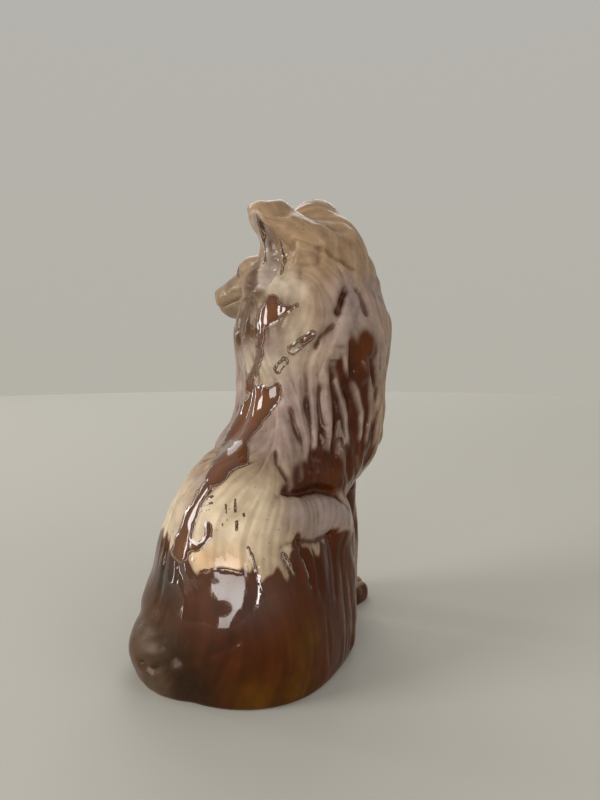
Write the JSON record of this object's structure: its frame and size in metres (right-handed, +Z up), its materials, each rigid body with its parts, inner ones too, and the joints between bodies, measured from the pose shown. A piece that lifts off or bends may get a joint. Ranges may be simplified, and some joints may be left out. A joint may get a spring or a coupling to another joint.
{
  "type": "dog figurine",
  "caption": "Seated long-haired sheepdog ornament in glossy brown and cream glazed earthenware, head turned over its left shoulder, tail swept round its haunch.",
  "frame": {"origin": "middle of the bounding box, on the floor it sits on", "axes": "+Z up; the dog sits facing -Y with its left side, and its turned face, at +X"},
  "size_m": [0.0906, 0.112, 0.1706],
  "materials": {
    "cream_glaze": "glossy lustre glaze, cream with lavender-grey streaks",
    "amber_glaze": "glossy lustre glaze, dark amber-brown over cream"
  },
  "bodies": {
    "root": {"body": "amber_glaze", "head": "cream_glaze", "left_ear": "cream_glaze", "right_ear": "cream_glaze", "left_foreleg": "amber_glaze", "right_foreleg": "amber_glaze", "left_hind_paw": "amber_glaze", "right_hind_paw": "amber_glaze", "tail": "amber_glaze"}
  },
  "joints": []
}
